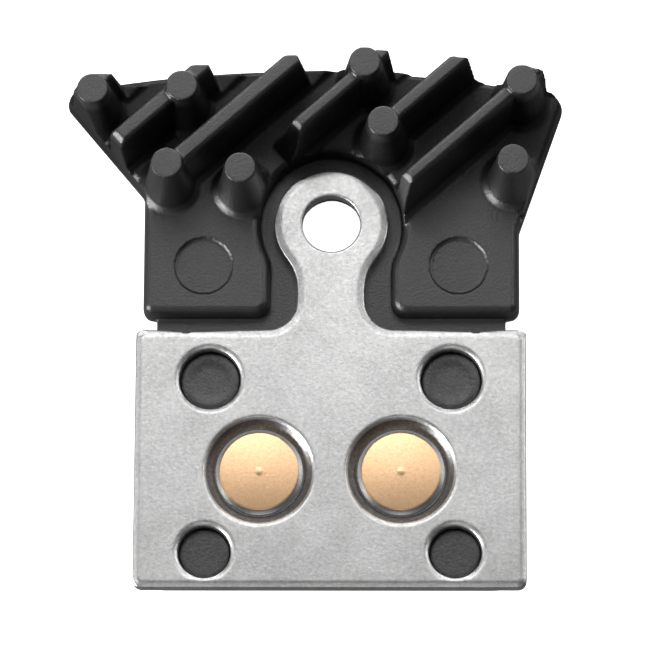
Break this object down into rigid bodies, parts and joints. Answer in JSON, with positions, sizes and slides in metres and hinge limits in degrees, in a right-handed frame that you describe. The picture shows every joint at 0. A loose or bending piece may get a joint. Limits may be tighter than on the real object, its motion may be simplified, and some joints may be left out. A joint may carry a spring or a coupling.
{
  "type": "bicycle disc brake pad",
  "caption": "Finned disc brake pad: a stamped steel back plate with an eyelet tab, riveted through a black cast cooling-fin plate to a carrier plate with a chamfered friction block.",
  "frame": {"origin": "on the pad axle's axis, in the plane where the steel back plate seats on the cast fin plate", "axes": "+Z out of the back of the pad towards the piston, along the pad axle; +Y out to the cooling fins; +X to the right seen from the back"},
  "size_m": [0.0342, 0.0366, 0.01],
  "materials": {
    "steel": "satin, tumbled stainless",
    "casting": "matte black coat on cast aluminium",
    "carrier": "bright plated sheet",
    "friction": "rough speckled friction compound",
    "rivet": "turned, warm copper tone"
  },
  "bodies": {
    "root": {"backing_plate": "steel", "fin_plate": "casting", "carrier_plate": "carrier", "friction_block": "friction", "rivets": "rivet"}
  },
  "joints": []
}
